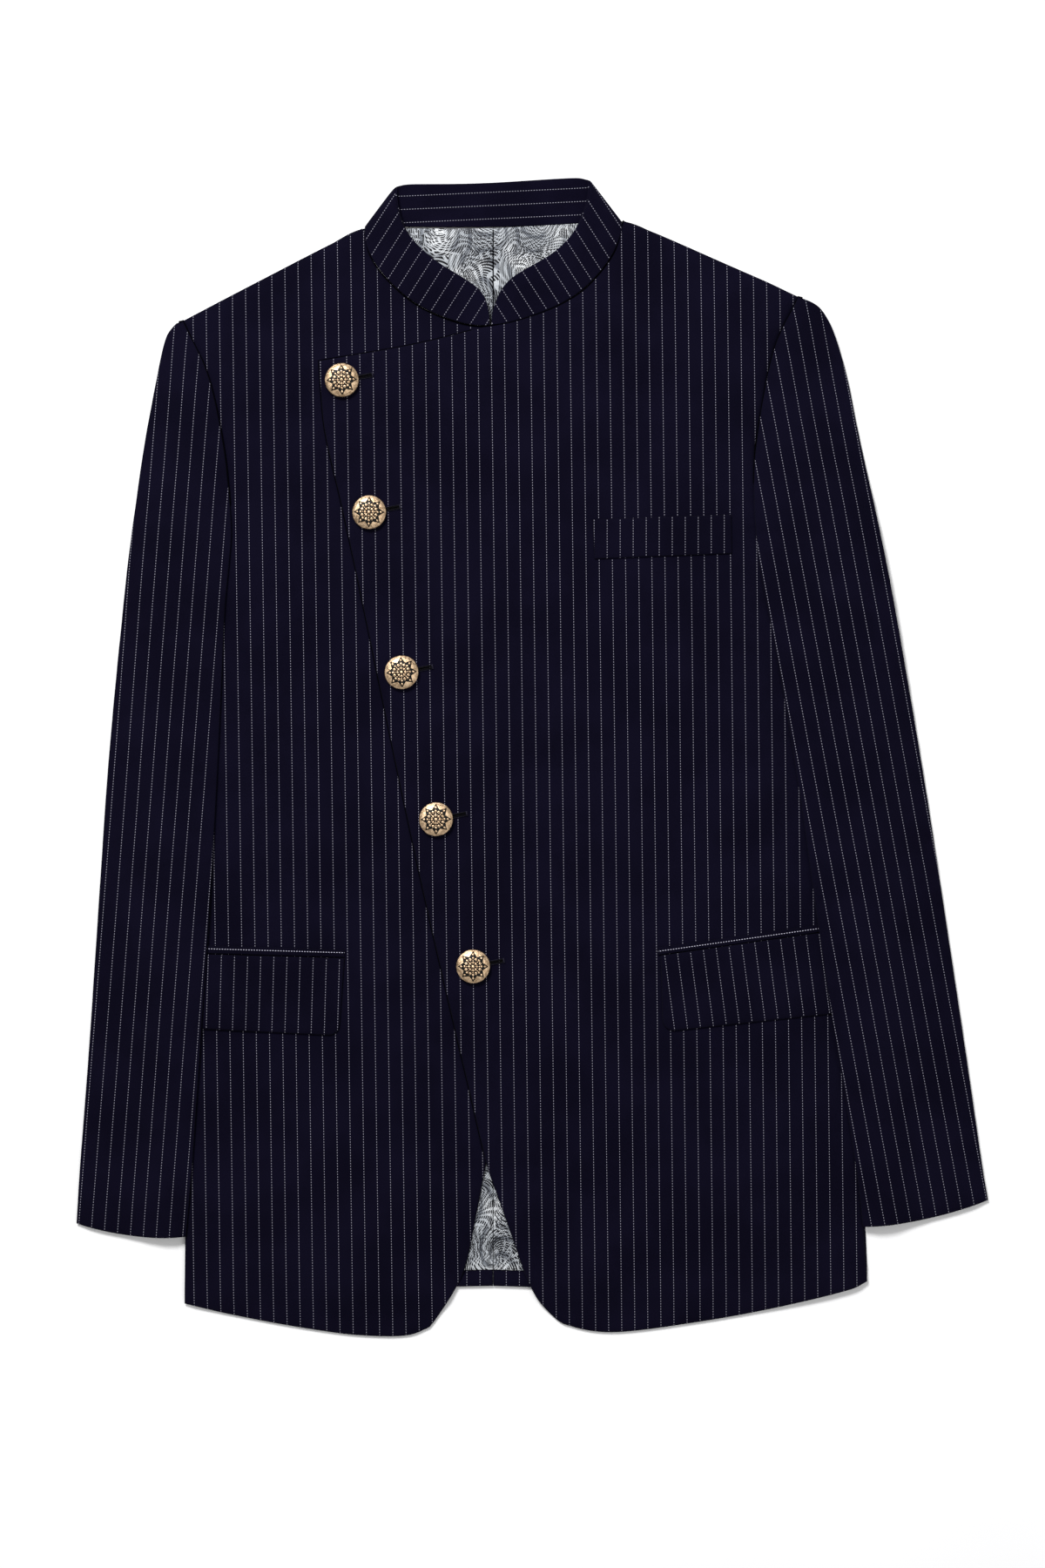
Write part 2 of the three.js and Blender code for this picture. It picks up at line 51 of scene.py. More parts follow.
# The pit of the neck, from which the cloth is drafted: +X to the wearer's left, +Y up to the collar.
COLLAR_LOW, COLLAR_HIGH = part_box("collar")
PIT = Vector((COLLAR_LOW[0] + 0.0896, COLLAR_LOW[1], 0.0))

# ---------------------------------------------------------------- camera, floor and light
VIEW_CENTRE = (PIT.x + 22.9 * MM, PIT.y - 325.5 * MM)
CAMERA_HEIGHT = 2.635

camera_data = bpy.data.cameras.new("camera")
camera_data.lens = 85
camera_data.sensor_width = 36
camera = bpy.data.objects.new("camera", camera_data)
camera.location = (*VIEW_CENTRE, CAMERA_HEIGHT)
bpy.context.collection.objects.link(camera)
bpy.context.scene.camera = camera


def area_light(name, location, size, power):
    """A round lamp that faces the middle of the jacket."""
    data = bpy.data.lights.new(name, "AREA")
    data.shape = "DISK"
    data.size = size
    data.energy = power
    light = bpy.data.objects.new(name, data)
    light.location = location
    light.rotation_euler = (-Vector(location)).to_track_quat("-Z", "Y").to_euler()
    bpy.context.collection.objects.link(light)


area_light("key", (-0.8, 1.6, 2.2), 0.9, 84)
area_light("fill", (1.3, -0.6, 2.4), 1.8, 12)

world = bpy.data.worlds.new("studio")
world.use_nodes = True
world.node_tree.nodes["Background"].inputs["Color"].default_value = (1, 1, 1, 1)
world.node_tree.nodes["Background"].inputs["Strength"].default_value = 0.45
bpy.context.scene.world = world
bpy.context.scene.view_settings.view_transform = "Standard"
bpy.context.scene.view_settings.look = "None"


# ---------------------------------------------------------------- materials
CLOTH_MAP = "Cloth"  # the UV layer that the pinstripes follow


class Shader:
    """A material's node tree, with one method for each kind of node that is used."""

    def __init__(self, name):
        self.material = bpy.data.materials.new(name)
        self.material.use_nodes = True
        self.tree = self.material.node_tree
        self.surface = self.tree.nodes["Principled BSDF"]

    def put(self, socket, value):
        if isinstance(value, bpy.types.NodeSocket):
            self.tree.links.new(value, socket)
        else:
            socket.default_value = value

    def math(self, operation, a, b=0.0, c=0.0):
        node = self.tree.nodes.new("ShaderNodeMath")
        node.operation = operation
        for socket, value in zip(node.inputs, (a, b, c)):
            self.put(socket, value)
        return node.outputs[0]

    def ramp(self, value, low, high, to_low=0.0, to_high=1.0):
        """A smooth step of value, from low to high."""
        node = self.tree.nodes.new("ShaderNodeMapRange")
        node.interpolation_type = "SMOOTHSTEP"
        for name, part in (("Value", value), ("From Min", low), ("From Max", high),
                           ("To Min", to_low), ("To Max", to_high)):
            self.put(node.inputs[name], part)
        return node.outputs[0]

    def mix(self, factor, a, b):
        node = self.tree.nodes.new("ShaderNodeMix")
        node.data_type = "RGBA"
        self.put(node.inputs["Factor"], factor)
        self.put(node.inputs["A"], a)
        self.put(node.inputs["B"], b)
        return node.outputs["Result"]

    def noise(self, vector, scale, detail=2.0, roughness=0.5, distortion=0.0):
        node = self.tree.nodes.new("ShaderNodeTexNoise")
        self.put(node.inputs["Vector"], vector)
        for name, value in (("Scale", scale), ("Detail", detail), ("Roughness", roughness),
                            ("Distortion", distortion)):
            node.inputs[name].default_value = value
        return node.outputs["Fac"]

    def uv(self):
        node = self.tree.nodes.new("ShaderNodeUVMap")
        node.uv_map = CLOTH_MAP
        return node.outputs[0]

    def object_point(self):
        return self.tree.nodes.new("ShaderNodeTexCoord").outputs["Object"]

    def split(self, vector):
        node = self.tree.nodes.new("ShaderNodeSeparateXYZ")
        self.put(node.inputs[0], vector)
        return node.outputs

    def bump(self, height, strength, distance, under=None):
        node = self.tree.nodes.new("ShaderNodeBump")
        node.inputs["Strength"].default_value = strength
        node.inputs["Distance"].default_value = distance
        self.put(node.inputs["Height"], height)
        if under is not None:
            self.put(node.inputs["Normal"], under)
        return node.outputs[0]

    def finish(self, **values):
        for name, value in values.items():
            self.put(self.surface.inputs[name.replace("_", " ")], value)
        return self.material


STRIPE_MM = 9.343  # between two pinstripes, and one unit of the Cloth map
DOT = 1.9 / STRIPE_MM  # between two dots of a pinstripe
STRIPE_HALF = 0.18 / STRIPE_MM
TWILL = 0.9 / STRIPE_MM  # between two lines of the twill
WOOL_DARK = (0.0012, 0.0009, 0.0044)
WOOL_LIGHT = (0.0038, 0.0031, 0.0112)
STRIPE_COLOUR = (0.235, 0.23, 0.285)


def opaque(colour, strength=1.0):
    """A colour as a socket takes it, with each part times strength."""
    return tuple(part * strength for part in colour) + (1,)


def wool(name, tint=1.0, contrast=1.0):
    """Midnight worsted in a fine twill, with a dotted pinstripe along V. tint scales the ground's colour, and
    contrast the pinstripe's."""
    s = Shader(name)
    across, along, _ = s.split(s.uv())
    place = s.object_point()
    off = s.math("ABSOLUTE", s.math("SUBTRACT", s.math("FRACT", s.math("ADD", across, 0.5)), 0.5))
    line = s.ramp(off, STRIPE_HALF * 0.75, STRIPE_HALF * 1.35, 1.0, 0.0)
    beat = s.math("SINE", s.math("MULTIPLY", along, 2 * math.pi / DOT))
    stripe = s.math("MULTIPLY", line, s.ramp(beat, -0.25, 0.3))
    slant = s.math("ADD", across, s.math("MULTIPLY", along, 0.8))
    twill = s.math("SINE", s.math("MULTIPLY", slant, 2 * math.pi / TWILL))
    cloudy = s.noise(place, 22.0, 3.0)
    fibre = s.noise(place, 1900.0, 2.0)
    shade = s.math("ADD", s.ramp(cloudy, 0.3, 0.7), s.math("MULTIPLY", s.ramp(fibre, 0.3, 0.7), 0.8))
    light = opaque(WOOL_LIGHT, tint)
    ground = s.mix(s.math("MULTIPLY", shade, 0.55), opaque(WOOL_DARK, tint), light)
    ground = s.mix(s.ramp(twill, -1.0, 1.0, 0.0, 0.35), ground, light)
    colour = s.mix(stripe, ground, opaque(STRIPE_COLOUR, contrast))
    weave = s.math("ADD", s.math("MULTIPLY", twill, 0.5), s.math("MULTIPLY", line, 0.8))
    normal = s.bump(weave, 0.35, 0.00012)
    normal = s.bump(fibre, 0.3, 0.0002, normal)
    return s.finish(Base_Color=colour, Normal=normal, Roughness=0.9, Specular_IOR_Level=0.03,
                    Sheen_Weight=0.01, Sheen_Roughness=0.5)


CELL_WIDE, CELL_HIGH = 0.034, 0.046  # one figure of the lining, in metres
RINGS = 12.5  # dark curves in a figure, per unit of its radius
WHIRL = 4.2  # how far they wind, in radians per unit of its radius
DASHES = 34.0  # of a curve, per radian round the figure
HATCH_WIDE, HATCH_HIGH = 0.00165, 0.0015
SATIN_THREAD = 0.0006


def satin(name):
    """Silver-grey jacquard lining: teardrops and plumes of dashed dark curves, drawn cell by cell."""
    s = Shader(name)
    place = s.object_point()
    warp = s.noise(place, 16.0, 2.0)
    flow = s.noise(place, 24.0, 1.0, 0.5, 1.4)
    x, y, _ = s.split(place)
    gx = s.math("MULTIPLY", s.math("ADD", x, s.math("MULTIPLY", warp, 0.016)), 1 / CELL_WIDE)
    gy = s.math("MULTIPLY", s.math("ADD", y, s.math("MULTIPLY", warp, 0.022)), 1 / CELL_HIGH)
    row = s.math("FLOOR", gy)
    gx = s.math("ADD", gx, s.math("MULTIPLY", row, 0.5))
    cx = s.math("SUBTRACT", s.math("FRACT", gx), 0.5)
    cy = s.math("SUBTRACT", s.math("FRACT", gy), 0.5)
    radius = s.math("SQRT", s.math("ADD", s.math("MULTIPLY", cx, cx), s.math("MULTIPLY", cy, cy)))
    turn = s.math("ADD", s.math("ARCTAN2", cy, cx), s.math("MULTIPLY", radius, WHIRL))
    swell = s.math("MULTIPLY", s.math("COSINE", turn), 0.42)
    drop = s.math("MULTIPLY", radius, s.math("ADD", 1.0, swell))
    line = s.math("ADD", s.math("MULTIPLY", drop, RINGS), s.math("MULTIPLY", flow, 10.0))
    rings = s.math("SINE", s.math("MULTIPLY", line, 2 * math.pi))
    curve = s.ramp(rings, -0.38, -0.12)
    step = s.math("MULTIPLY", s.math("FLOOR", s.math("ADD", line, 0.25)), 2.4)
    dashes = s.math("SINE", s.math("ADD", s.math("MULTIPLY", turn, DASHES), step))
    dashed = s.math("MULTIPLY", curve, s.ramp(dashes, -0.5, -0.15))
    fan = s.ramp(s.math("SINE", s.math("MULTIPLY", turn, 5.0)), 0.2, 0.9)
    speckle = s.ramp(s.noise(place, 700.0, 2.0), 0.5, 0.62)
    sparse = s.ramp(s.noise(place, 30.0, 1.0), 0.45, 0.6, 0.15, 0.9)
    figure = s.math("MAXIMUM", dashed, s.math("MULTIPLY", speckle, sparse))
    lean = s.math("ADD", x, s.math("MULTIPLY", y, 0.35))
    columns = s.math("SINE", s.math("MULTIPLY", lean, 2 * math.pi / HATCH_WIDE))
    rows = s.math("SINE", s.math("MULTIPLY", y, 2 * math.pi / HATCH_HIGH))
    hatch = s.math("MULTIPLY", s.ramp(s.math("MULTIPLY", columns, rows), -0.05, 0.25),
                   s.ramp(s.noise(place, 34.0, 1.0), 0.40, 0.54, 0.1, 1.0))
    silver = s.mix(fan, (0.43, 0.455, 0.485, 1), (0.17, 0.185, 0.21, 1))
    # Painted sheen: random clouds where the silver is lightened towards near-white.
    silver = s.mix(s.ramp(s.noise(place, 45.0, 2.0), 0.45, 0.75), silver, (0.85, 0.87, 0.89, 1))
    silver = s.mix(s.math("MULTIPLY", hatch, 0.9), silver, (0.05, 0.055, 0.07, 1))
    colour = s.mix(figure, silver, (0.0025, 0.0025, 0.005, 1))
    threads = s.math("SINE", s.math("MULTIPLY", y, 2 * math.pi / SATIN_THREAD))
    normal = s.bump(threads, 0.2, 0.00006)
    normal = s.bump(figure, 0.3, 0.00015, normal)
    return s.finish(Base_Color=colour, Normal=normal, Roughness=0.5, Specular_IOR_Level=0.15)


def silk(name, colour, roughness=0.6, shine=0.08):
    """Dark silk, thread or enamel, finely flecked."""
    s = Shader(name)
    fleck = s.ramp(s.noise(s.object_point(), 900.0, 2.0), 0.35, 0.7)
    return s.finish(Base_Color=s.mix(fleck, opaque(colour, 0.5), opaque(colour)), Roughness=roughness,
                    Normal=s.bump(fleck, 0.5, 0.0002), Specular_IOR_Level=shine)


def metal(name, colour, worn, roughness, grain):
    """Cast antique metal: brighter where it is rubbed, pitted and dull in between."""
    s = Shader(name)
    place = s.object_point()
    cloud = s.ramp(s.noise(place, grain, 3.0, 0.6), 0.35, 0.65)
    pits = s.ramp(s.noise(place, grain * 5, 2.0), 0.42, 0.6)
    dull = s.math("ADD", roughness, s.math("MULTIPLY", cloud, 0.14))
    return s.finish(Base_Color=s.mix(cloud, opaque(colour), opaque(worn)), Metallic=1.0, Roughness=dull,
                    Normal=s.bump(pits, 0.35, 0.00015))


WOOL = wool("wool")
WOOL_TRIM = wool("wool_trim", 0.95)
WOOL_JET = wool("wool_jet", 0.85, 2.2)
SATIN = satin("satin")
SILK = silk("silk_black", (0.0016, 0.0016, 0.0030))
SILK_RIM = silk("silk_rim", (0.014, 0.013, 0.026))
# Near-black cord colour for the seam lines and for the painted shade lines along seams and lapped edges.
SEAM_AND_SHADE_CORD = silk("thread", (0.0009, 0.0008, 0.0020), 0.9, 0.02)
GOLD = metal("gold", (0.49, 0.335, 0.20), (0.90, 0.66, 0.43), 0.33, 420.0)
BLACK_FILL = silk("black_fill", (0.0035, 0.003, 0.0025), 0.45, 0.2)


FLOOR_HALF = 6
FLOOR_DOWN = 0.0004  # below the jacket's underside, so that the two never share a face


def plain_floor():
    """A pale floor, far wider than the view."""
    s = Shader("floor")
    grey = s.ramp(s.noise(s.object_point(), 5.0, 2.0), 0.3, 0.7)
    colour = s.mix(grey, (0.885, 0.885, 0.89, 1), (0.90, 0.90, 0.905, 1))
    s.finish(Base_Color=colour, Roughness=0.9, Specular_IOR_Level=0.1)
    mesh = bpy.data.meshes.new("floor")
    corners = [(x * FLOOR_HALF, y * FLOOR_HALF, 0) for x, y in ((-1, -1), (1, -1), (1, 1), (-1, 1))]
    mesh.from_pydata(corners, [], [(0, 1, 2, 3)])
    mesh.materials.append(s.material)
    floor = bpy.data.objects.new("floor", mesh)
    bpy.context.collection.objects.link(floor)
    floor.location.z = -FLOOR_DOWN


plain_floor()


# ---------------------------------------------------------------- cloth maps
def stripes(x0, y0, spacing, slope=0.0, spread=0.0):
    """The Cloth map of a piece whose pinstripes run nearly down: one lies at x0 where y is y0, and each next
    one is spacing further. All in drafted millimetres; slope is how far a stripe goes to +X per mm down."""

    def coords(p):
        lean = slope - spread * (p[:, 0] - x0)
        u = (p[:, 0] - x0 + lean * (p[:, 1] - y0)) / spacing
        return np.column_stack([u, p[:, 1] / spacing])

    return coords


def slanted(angle, spacing, phase):
    """The Cloth map of stripes whose direction is angle degrees from +Y, turned towards +X."""
    c, s = math.cos(math.radians(angle)), math.sin(math.radians(angle))

    def coords(p):
        return np.column_stack([(p[:, 0] * c - p[:, 1] * s) / spacing + phase,
                                (p[:, 0] * s + p[:, 1] * c) / spacing])

    return coords


COLLAR_BIAS, COLLAR_STRIPE = 33, 9.49
BAND_FOOT, BAND_TILT, BAND_STRIPE = 95.2, 0.045, 9.45


def collar_map(p):
    """Each front half of the collar is cut on the bias."""
    left = slanted(-COLLAR_BIAS, COLLAR_STRIPE, 0.80)(p)
    right = slanted(COLLAR_BIAS, COLLAR_STRIPE, 0.31)(p)
    return np.where(p[:, :1] > 0, left, right)


def band_map(p):
    """The pinstripes of the inner band run nearly level, along it."""
    level = p[:, 1] - BAND_FOOT - BAND_TILT * p[:, 0]
    return np.column_stack([level / BAND_STRIPE, p[:, 0] / BAND_STRIPE])


# ---------------------------------------------------------------- shells
def node_bvh(node):
    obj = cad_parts[node]
    return BVHTree.FromPolygons([v.co.copy() for v in obj.data.vertices],
                                [tuple(f.vertices) for f in obj.data.polygons])


def outline_of(node, up=0.1):
    """The longest edge loop round a node's upward faces, anticlockwise, as plan points in metres."""
    bm = bmesh.new()
    bm.from_mesh(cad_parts[node].data)
    bmesh.ops.remove_doubles(bm, verts=bm.verts, dist=1e-5)
    bm.normal_update()
    top = {f for f in bm.faces if f.normal.z > up}
    follow = {}
    for face in top:
        for loop in face.loops:
            if all(other not in top or other is face for other in loop.edge.link_faces):
                follow[loop.vert] = loop.link_loop_next.vert
    loops = []
    while follow:
        start, at = next(iter(follow.items()))
        loop = [start]
        del follow[start]
        while at is not start and at in follow:
            loop.append(at)
            at = follow.pop(at)
        loops.append(np.array([(v.co.x, v.co.y) for v in loop]))
    bm.free()
    return max(loops, key=lambda loop: np.ptp(loop, axis=0).sum())


CORNER = 34.0  # degrees of turn from which a point of an outline is a corner


def turning(p):
    """Degrees of turn at each point of a closed outline."""
    before = p - np.roll(p, 1, axis=0)
    after = np.roll(p, -1, axis=0) - p
    cross = before[:, 0] * after[:, 1] - before[:, 1] * after[:, 0]
    return np.degrees(np.arctan2(cross, (before * after).sum(axis=1)))


def smooth_outline(p, spacing):
    """The outline as a smooth closed line with points about spacing apart, its corners kept."""
    short = np.linalg.norm(np.roll(p, -1, axis=0) - p, axis=1) > 1e-4
    p = p[short]
    corners = np.flatnonzero(np.abs(turning(p)) > CORNER)
    if not len(corners):
        corners = np.array([0])
    out = []
    for a, b in zip(corners, np.roll(corners, -1)):
        count = (b - a) % len(p) or len(p)
        run = p[[(a + i) % len(p) for i in range(count + 1)]]
        padded = np.vstack([2 * run[0] - run[1], run, 2 * run[-1] - run[-2]])
        for i in range(count):
            q0, q1, q2, q3 = padded[i:i + 4]
            steps = max(1, round(np.linalg.norm(q2 - q1) / spacing))
            for t in np.arange(steps) / steps:
                out.append(0.5 * (2 * q1 + (q2 - q0) * t + (2 * q0 - 5 * q1 + 4 * q2 - q3) * t * t
                                  + (3 * q1 - q0 - 3 * q2 + q3) * t ** 3))
    return np.array(out)


def inward(p):
    """Unit-depth steps into an anticlockwise outline at each point."""
    along = np.roll(p, -1, axis=0) - p
    along /= np.linalg.norm(along, axis=1)[:, None]
    normal = np.column_stack([-along[:, 1], along[:, 0]])
    both = normal + np.roll(normal, 1, axis=0)
    both /= np.linalg.norm(both, axis=1)[:, None]
    return both / np.maximum((both * normal).sum(axis=1), 0.6)[:, None]


def inside(points, outline):
    """Whether each point lies inside a closed outline."""
    a, b = outline, np.roll(outline, -1, axis=0)
    hit = np.zeros(len(points), bool)
    for (ax, ay), (bx, by) in zip(a, b):
        cross = (ay > points[:, 1]) != (by > points[:, 1])
        if cross.any():
            x = ax + (points[:, 1] - ay) * (bx - ax) / (by - ay + 1e-30)
            hit ^= cross & (points[:, 0] < x)
    return hit


def distance_to(points, outline):
    """Distance of each point to the nearest segment of a closed outline."""
    best = np.full(len(points), 1e9)
    for a, b in zip(outline, np.roll(outline, -1, axis=0)):
        ab = b - a
        t = np.clip(((points - a) @ ab) / max(ab @ ab, 1e-18), 0, 1)
        best = np.minimum(best, np.linalg.norm(points - a - t[:, None] * ab, axis=1))
    return best


FAR = 0.2  # above or below everything, in metres
CLOTH_TOP = 0.012  # about the top of the panels
PAST_EDGE = 1.3  # of the way to the nearest point, so that the second ray meets the node


def surface_heights(tree, points, above=True):
    """Heights of a CAD node's top or underside at plan points. A point just off it takes the nearest height."""
    start, way = (FAR, Vector((0, 0, -1))) if above else (-FAR, Vector((0, 0, 1)))
    heights = np.empty(len(points))
    for i, (x, y) in enumerate(points):
        hit = tree.ray_cast(Vector((x, y, start)), way)[0]
        if hit is None:
            near = tree.find_nearest(Vector((x, y, CLOTH_TOP if above else 0.0)))[0]
            plan = Vector((x, y, 0))
            inner = plan + (Vector((near.x, near.y, 0)) - plan) * PAST_EDGE
            hit = tree.ray_cast(Vector((inner.x, inner.y, start)), way)[0] or near
        heights[i] = hit.z
    return heights


def relax(values, edges, times):
    """Averages each value with those of its neighbours, times over."""
    a, b = edges[:, 0], edges[:, 1]
    n = len(values)
    count = np.bincount(a, minlength=n) + np.bincount(b, minlength=n)
    for _ in range(times):
        total = np.bincount(a, values[b], n) + np.bincount(b, values[a], n)
        values = 0.5 * values + 0.5 * total / np.maximum(count, 1)
    return values


def build(name, vertices, faces, material, coords=None):
    """A smooth-shaded object of one material, with its Cloth map where coords are given."""
    mesh = bpy.data.meshes.new(name)
    mesh.from_pydata([tuple(v) for v in vertices], [], faces)
    mesh.shade_smooth()
    if coords is not None:
        flat = coords.astype(np.float32)
        loops = np.empty(len(mesh.loops), np.int32)
        mesh.loops.foreach_get("vertex_index", loops)
        layer = mesh.uv_layers.new(name=CLOTH_MAP)
        layer.data.foreach_set("uv", flat[loops].ravel())
    mesh.materials.append(material)
    obj = bpy.data.objects.new(name, mesh)
    bpy.context.collection.objects.link(obj)
    return obj


def drafted(points):
    """Model metres to drafted millimetres."""
    return (points[:, :2] - np.array(PIT[:2])) / MM


ROUNDING_MM = 1.5  # of the edge of a panel whose thickness is left as the CAD has it
RIMS = [(0.14, 0.80), (0.0, 0.50), (0.14, 0.18)]  # rings of a rounded edge: depth in, and height up the wall


def shell(name, node, mapping, material, grid, edge, relief, thick, smoothing):
    """A closed thin shell with rounded edges on the form of a CAD panel. grid and edge are the spacings of its
    points inside and along the outline. relief(drafted points, distance to the edge in mm) adds soft form, in mm."""
    tree = node_bvh(node)
    outline = smooth_outline(outline_of(node), edge)
    step = inward(outline)
    low, high = outline.min(axis=0), outline.max(axis=0)
    xs = np.arange(low[0], high[0], grid)
    ys = np.arange(low[1], high[1], grid)
    field = np.stack(np.meshgrid(xs, ys), axis=-1).reshape(-1, 2)
    field = field[inside(field, outline)]
    round_off = (thick or ROUNDING_MM) * MM
    field = field[distance_to(field, outline) > round_off * 0.55 + 0.45 * grid]
    ring = outline + step * round_off * 0.5
    n = len(ring)
    flat = [Vector(p) for p in np.vstack([ring, field])]
    made = delaunay_2d_cdt(flat, [(i, (i + 1) % n) for i in range(n)], [], 1, 1e-7)
    plan = np.array([tuple(v) for v in made[0]])
    faces = [tuple(f) for f in made[2]]
    ring_at = [None] * n
    for new, old in enumerate(made[3]):
        for index in old:
            if index < n:
                ring_at[index] = new
    if any(at is None for at in ring_at) or len(set(ring_at)) != n:
        raise RuntimeError(f"{name}: the outline lost a point")
    edges = np.array([e for f in faces for e in ((f[0], f[1]), (f[1], f[2]), (f[2], f[0]))])
    top = relax(surface_heights(tree, plan), edges, smoothing)
    under = relax(surface_heights(tree, plan, above=False), edges, smoothing)
    if thick:
        under = np.maximum(under, top - thick * MM)
    if relief is not None:
        add = relief(drafted(plan), distance_to(plan, outline) / MM) * MM
        top = top + add
        under = under + add
    count = len(plan)
    wall = (top - under)[ring_at]
    points = [np.column_stack([plan, top]), np.column_stack([plan, under])]
    for depth, level in RIMS:
        line = outline + step * (depth * round_off)
        points.append(np.column_stack([line, under[ring_at] + wall * level]))
    solid = faces + [tuple(count + i for i in reversed(f)) for f in faces]
    bands = [ring_at] + [[2 * count + k * n + i for i in range(n)] for k in range(len(RIMS))]
    bands.append([count + i for i in ring_at])
    for upper, lower in zip(bands, bands[1:]):
        for i in range(n):
            j = (i + 1) % n
            solid.append((upper[i], lower[i], lower[j], upper[j]))
    vertices = np.vstack(points)
    coords = mapping(drafted(vertices))
    # Painted shade: below its top, a rounded edge keeps to the plain ground between two pinstripes, with no stripe,
    # so that the edge reads as a dark line.
    shaded_edge_rings = slice(2 * count + n, 2 * count + 3 * n)
    coords[shaded_edge_rings, 0] = np.floor(coords[shaded_edge_rings, 0]) + 0.5
    obj = build(name, vertices, solid, material, coords)
    x, y = outline.T
    area = abs(np.sum(x * np.roll(y, -1) - np.roll(x, -1) * y)) / 2
    return obj, cut_size(outline), area


def cut_size(outline):
    """Width and length of the smallest rectangle that a plan outline can be cut from."""
    sizes = []
    for turn in np.radians(np.arange(0, 90, 1.0)):
        c, s = math.cos(turn), math.sin(turn)
        sizes.append(np.ptp(outline @ np.array([[c, -s], [s, c]]), axis=0))
    return min(sizes, key=lambda size: size[0] * size[1])


# The jets are narrow strips, each sewn to its flap; their objects are kept here by name once built.
JETS = {"jet_cloth_left": None, "jet_cloth_right": None}


def adopt(obj, node):
    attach(obj, "root")
    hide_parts(node)


# ---------------------------------------------------------------- soft form
SEAM_STEP = 3 * MM  # between the points of an outline that a seam follows
CLOSED_REACH = 2.5 * MM  # two panels closer than this are sewn or lap there


def bell(value, width):
    return np.exp(-(value / width) ** 2)


def trough(p, a, b, width, depth):
    """A soft hollow along the line from a to b, in drafted millimetres, fading at its ends."""
    a, b = np.array(a, float), np.array(b, float)
    ab = b - a
    t = ((p - a) @ ab) / (ab @ ab)
    off = np.linalg.norm(p - a - np.clip(t, 0, 1)[:, None] * ab, axis=1)
    fade = np.clip(np.minimum(t, 1 - t) * 3 + 0.25, 0, 1)
    return -depth * bell(off, width) * fade


def seam_edge(distance, depth, width):
    """Cloth pulled down a little along its sewn edges."""
    return -depth * bell(distance, width)


def closed_edge(node, other):
    """The stretch of a panel's outline that is sewn to the other panel, as drafted points."""
    outline = smooth_outline(outline_of(node), SEAM_STEP)
    near = distance_to(outline, smooth_outline(outline_of(other), SEAM_STEP)) < CLOSED_REACH
    return drafted(outline[near])


def along_edge(p, edge, width, depth):
    """Cloth that comes down by depth at a closed edge, over width."""
    away = np.full(len(p), 1e9)
    for point in edge:
        away = np.minimum(away, np.hypot(p[:, 0] - point[0], p[:, 1] - point[1]))
    return -depth * bell(away, width)


def smoothstep(value, low, high):
    t = np.clip((value - low) / (high - low), 0, 1)
    return t * t * (3 - 2 * t)


CLOSED_LEFT = closed_edge("front_left", "back_left")
CLOSED_RIGHT = closed_edge("front_right", "back_right")
HEADS = {"left": closed_edge("sleeve_top_left", "front_left"),
         "right": closed_edge("sleeve_top_right", "front_right")}
HEM_FALL = 2.5  # how far a front's hem comes down to the table below the back's hem, in mm
FALL_FROM, FALL_TO = 686, 704  # drafted millimetres below the pit of the neck
DART = ((130, -255), (133, -372))
DIMPLE_WIDE, DIMPLE_DEEP = 17, 0.5


def fall(p):
    """The fronts are longer than the back, and below its hem they come down towards the table."""
    return -HEM_FALL * smoothstep(-p[:, 1], FALL_FROM, FALL_TO)


BUTTON_PLACES = [np.mean([np.array(c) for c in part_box(f"button_{i}")], axis=0) for i in range(1, 6)]
BUTTON_MM = [((c[0] - PIT.x) / MM, (c[1] - PIT.y) / MM) for c in BUTTON_PLACES]


def front_left_form(p, d):
    add = seam_edge(d, 0.3, 3.0)
    for x, y in BUTTON_MM:
        add += -DIMPLE_DEEP * bell(np.hypot(p[:, 0] - x, p[:, 1] - y), DIMPLE_WIDE)
    add += trough(p, *DART, 2.2, 0.5)
    add += 0.35 * np.sin(p[:, 0] / 61 + p[:, 1] / 240) * np.clip(d / 30, 0, 1)
    return add + along_edge(p, CLOSED_LEFT, 4.5, 1.1) + fall(p)


def front_right_form(p, d):
    add = seam_edge(d, 0.3, 3.0)
    add += 0.3 * np.sin(p[:, 0] / 52 - p[:, 1] / 210) * np.clip(d / 30, 0, 1) * (p[:, 0] < -120)
    return add + along_edge(p, CLOSED_RIGHT, 4.5, 1.1) + fall(p)


def sleeve_form(side):
    def form(p, d):
        add = 0.9 * np.clip(d / 26, 0, 1) ** 0.5 - 0.3
        sway = np.sin(p[:, 1] / 88 + (0.4 if side == "left" else 1.9)) * np.clip(d / 18, 0, 1)
        return add + 0.35 * sway + along_edge(p, HEADS[side], 5.0, 1.3)

    return form


def plain_form(p, d):
    return seam_edge(d, 0.2, 2.5)


# ---------------------------------------------------------------- the panels
BACK_MAP = stripes(2.0, -9, STRIPE_MM)
LINING_MAP = stripes(0, 0, STRIPE_MM)
SLEEVE_MAP_LEFT = stripes(218.0, -52.7, 9.5, 0.187)
SLEEVE_MAP_RIGHT = stripes(-237.5, -52.7, 9.37, -0.0782)

